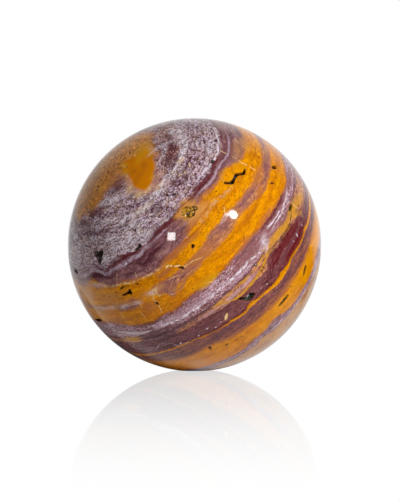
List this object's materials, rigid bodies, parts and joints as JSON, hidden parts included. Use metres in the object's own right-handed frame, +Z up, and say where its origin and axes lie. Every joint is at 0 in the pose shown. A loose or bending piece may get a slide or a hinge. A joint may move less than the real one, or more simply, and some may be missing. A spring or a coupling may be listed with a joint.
{
  "type": "polished ocean jasper sphere",
  "caption": "Polished sphere of banded ocean jasper with small open hollows and a small flat at its lowest point to stand on.",
  "frame": {"origin": "middle of the small flat that the sphere stands on, under its centre", "axes": "+Z up through the sphere's centre, -Y towards the front, +X to the right seen from the front"},
  "size_m": [0.065, 0.065, 0.0648],
  "materials": {
    "polished_jasper": "mirror polish over orange, cream, lilac and maroon bands, with dull dark hollows"
  },
  "bodies": {
    "root": {"jasper_sphere": "polished_jasper"}
  },
  "joints": []
}
